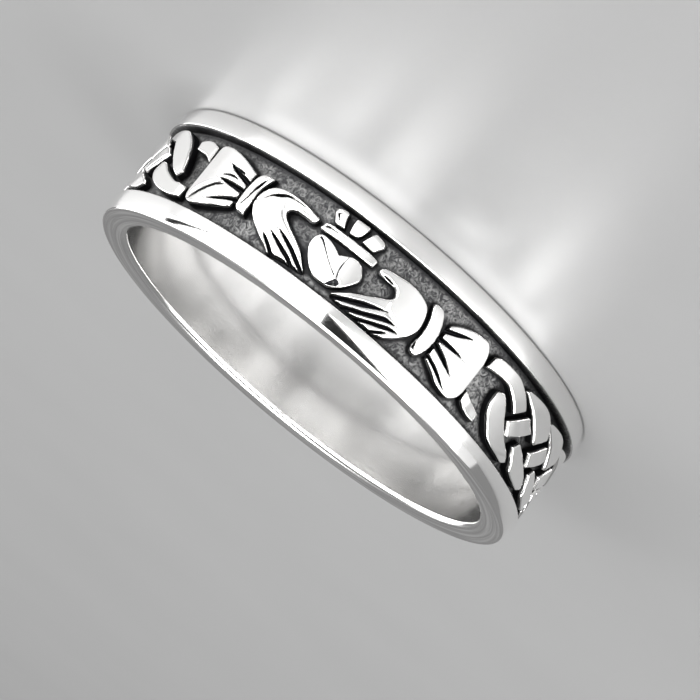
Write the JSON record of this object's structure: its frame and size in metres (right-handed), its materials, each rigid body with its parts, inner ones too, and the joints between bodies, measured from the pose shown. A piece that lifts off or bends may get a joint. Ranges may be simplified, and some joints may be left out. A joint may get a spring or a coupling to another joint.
{
  "type": "claddagh ring",
  "caption": "Band ring with a sunk channel; raised in it are a crowned heart held by hands in gathered cuffs, and plaited knotwork round the back.",
  "frame": {"origin": "on the finger hole's axis, in the plane of the side face that the ring lies on", "axes": "+Z along the finger hole, away from the surface; -Y towards the heart; the crown points to -Z"},
  "size_m": [0.0228, 0.0226, 0.0058],
  "materials": {
    "silver": "polished, with a darkened channel"
  },
  "bodies": {
    "root": {"ring": "silver"}
  },
  "joints": []
}
